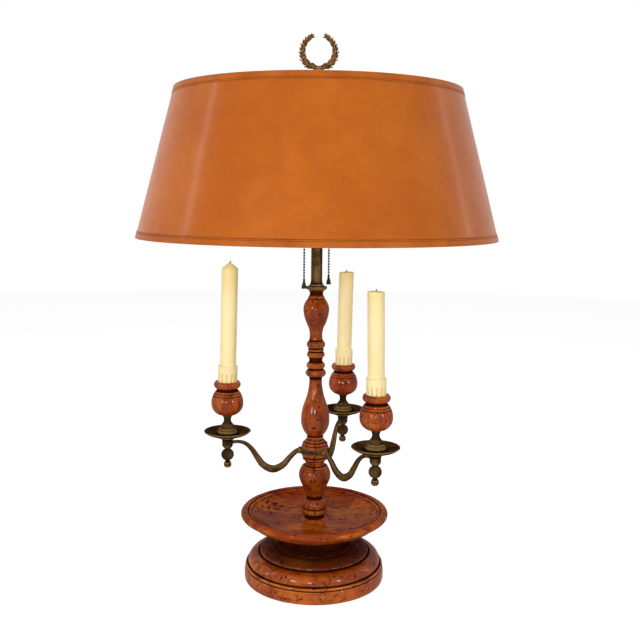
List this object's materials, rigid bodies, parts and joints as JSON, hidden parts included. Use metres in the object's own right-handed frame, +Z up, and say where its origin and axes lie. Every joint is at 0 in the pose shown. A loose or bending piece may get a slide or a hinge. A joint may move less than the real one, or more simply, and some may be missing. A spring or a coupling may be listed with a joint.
{
  "type": "bouillotte table lamp",
  "caption": "Table lamp with a turned wood base, dish and stem, fixed brass candle arms, a two-light pull-chain cluster, a tapered drum shade and a wreath finial.",
  "frame": {"origin": "on the table under the centre of the felt pad", "axes": "+Z up along the stem, -Y towards the front of the lamp"},
  "size_m": [0.4924, 0.4924, 0.7625],
  "materials": {
    "fruitwood": "distressed turned fruitwood, waxed, with worm holes and checks",
    "antique_brass": "cast brass, dark antique patina, satin",
    "plated_steel": "zinc plated",
    "spider_brass": "drawn brass rod, lacquered",
    "shade_leather": "caramel leather-look paper, semi-gloss, cream inside",
    "shade_tape": "tan leather tape with two tooled lines",
    "felt": "wool felt",
    "candle_wax": "ivory wax, slightly translucent",
    "socket_brass": "spun brass, polished and lacquered",
    "socket_body": "moulded phenolic",
    "chain_brass": "antique brass bead chain",
    "bulb_brass": "nickelled brass bulb base",
    "frosted_glass": "inside-frosted glass"
  },
  "bodies": {
    "stand": {"felt_pad": "felt", "base_plinth": "fruitwood", "dish_neck": "fruitwood", "drip_dish": "fruitwood", "lower_knop": "fruitwood", "arm_knop": "fruitwood", "stem_baluster": "fruitwood", "cord_bushing": "antique_brass", "stem_cap": "antique_brass", "tube_collar": "antique_brass", "riser_tube": "antique_brass", "arm_band": "antique_brass", "cluster_body": "antique_brass", "shade_rod": "antique_brass", "base_nut_and_washer": "plated_steel", "lamp_pipe": "plated_steel", "left_arm": "antique_brass", "left_drip_pan": "antique_brass", "left_pan_drop": "antique_brass", "left_cup_pedestal": "antique_brass", "left_candle_cup": "fruitwood", "right_arm": "antique_brass", "right_drip_pan": "antique_brass", "right_pan_drop": "antique_brass", "right_cup_pedestal": "antique_brass", "right_candle_cup": "fruitwood", "rear_arm": "antique_brass", "rear_drip_pan": "antique_brass", "rear_pan_drop": "antique_brass", "rear_cup_pedestal": "antique_brass", "rear_candle_cup": "fruitwood", "front_socket_cap": "socket_brass", "front_socket_shell": "socket_brass", "front_chain_guide": "socket_brass", "front_screw_shell": "socket_brass", "front_socket_core": "socket_body", "rear_socket_cap": "socket_brass", "rear_socket_shell": "socket_brass", "rear_chain_guide": "socket_brass", "rear_screw_shell": "socket_brass", "rear_socket_core": "socket_body"},
    "shade": {"shade_skin": "shade_leather", "shade_trim": "shade_tape", "shade_rings": "plated_steel", "shade_spider": "spider_brass"},
    "finial": {"finial_base": "antique_brass", "finial_wreath": "antique_brass"},
    "front_chain": {"front_pull_chain": "chain_brass", "front_chain_bell": "chain_brass"},
    "front_bulb": {"front_bulb_base": "bulb_brass", "front_bulb_glass": "frosted_glass"},
    "rear_chain": {"rear_pull_chain": "chain_brass", "rear_chain_bell": "chain_brass"},
    "rear_bulb": {"rear_bulb_base": "bulb_brass", "rear_bulb_glass": "frosted_glass"},
    "left_candle": {"left_candle": "candle_wax"},
    "right_candle": {"right_candle": "candle_wax"},
    "rear_candle": {"rear_candle": "candle_wax"}
  },
  "joints": [
    {"name": "shade_turn", "type": "hinge", "parent": "stand", "child": "shade", "pos_m": [0, 0, 0.6828], "axis": [0, 0, 1], "continuous": true},
    {"name": "finial_turn", "type": "hinge", "parent": "stand", "child": "finial", "pos_m": [0, 0, 0.69], "axis": [0, 0, 1], "continuous": true},
    {"name": "front_chain_pull", "type": "slide", "parent": "stand", "child": "front_chain", "axis": [0, 0, -1], "range_m": [0, 0.008], "stiffness_N_per_m": 600, "springref_m": -0.005},
    {"name": "front_bulb_turn", "type": "hinge", "parent": "stand", "child": "front_bulb", "pos_m": [-0.02817, -0.05298, 0.572], "axis": [-0.4695, -0.8829, 0], "range_deg": [0, 1080]},
    {"name": "rear_chain_pull", "type": "slide", "parent": "stand", "child": "rear_chain", "axis": [0, 0, -1], "range_m": [0, 0.008], "stiffness_N_per_m": 600, "springref_m": -0.005},
    {"name": "rear_bulb_turn", "type": "hinge", "parent": "stand", "child": "rear_bulb", "pos_m": [0.02817, 0.05298, 0.572], "axis": [0.4695, 0.8829, 0], "range_deg": [0, 1080]},
    {"name": "left_candle_lift", "type": "slide", "parent": "stand", "child": "left_candle", "axis": [0.0241, 0.0042, 0.9997], "range_m": [0, 0.03]},
    {"name": "right_candle_lift", "type": "slide", "parent": "stand", "child": "right_candle", "axis": [-0.0209, 0, 0.9998], "range_m": [0, 0.03]},
    {"name": "rear_candle_lift", "type": "slide", "parent": "stand", "child": "rear_candle", "axis": [0.0157, 0, 0.9999], "range_m": [0, 0.03]}
  ]
}
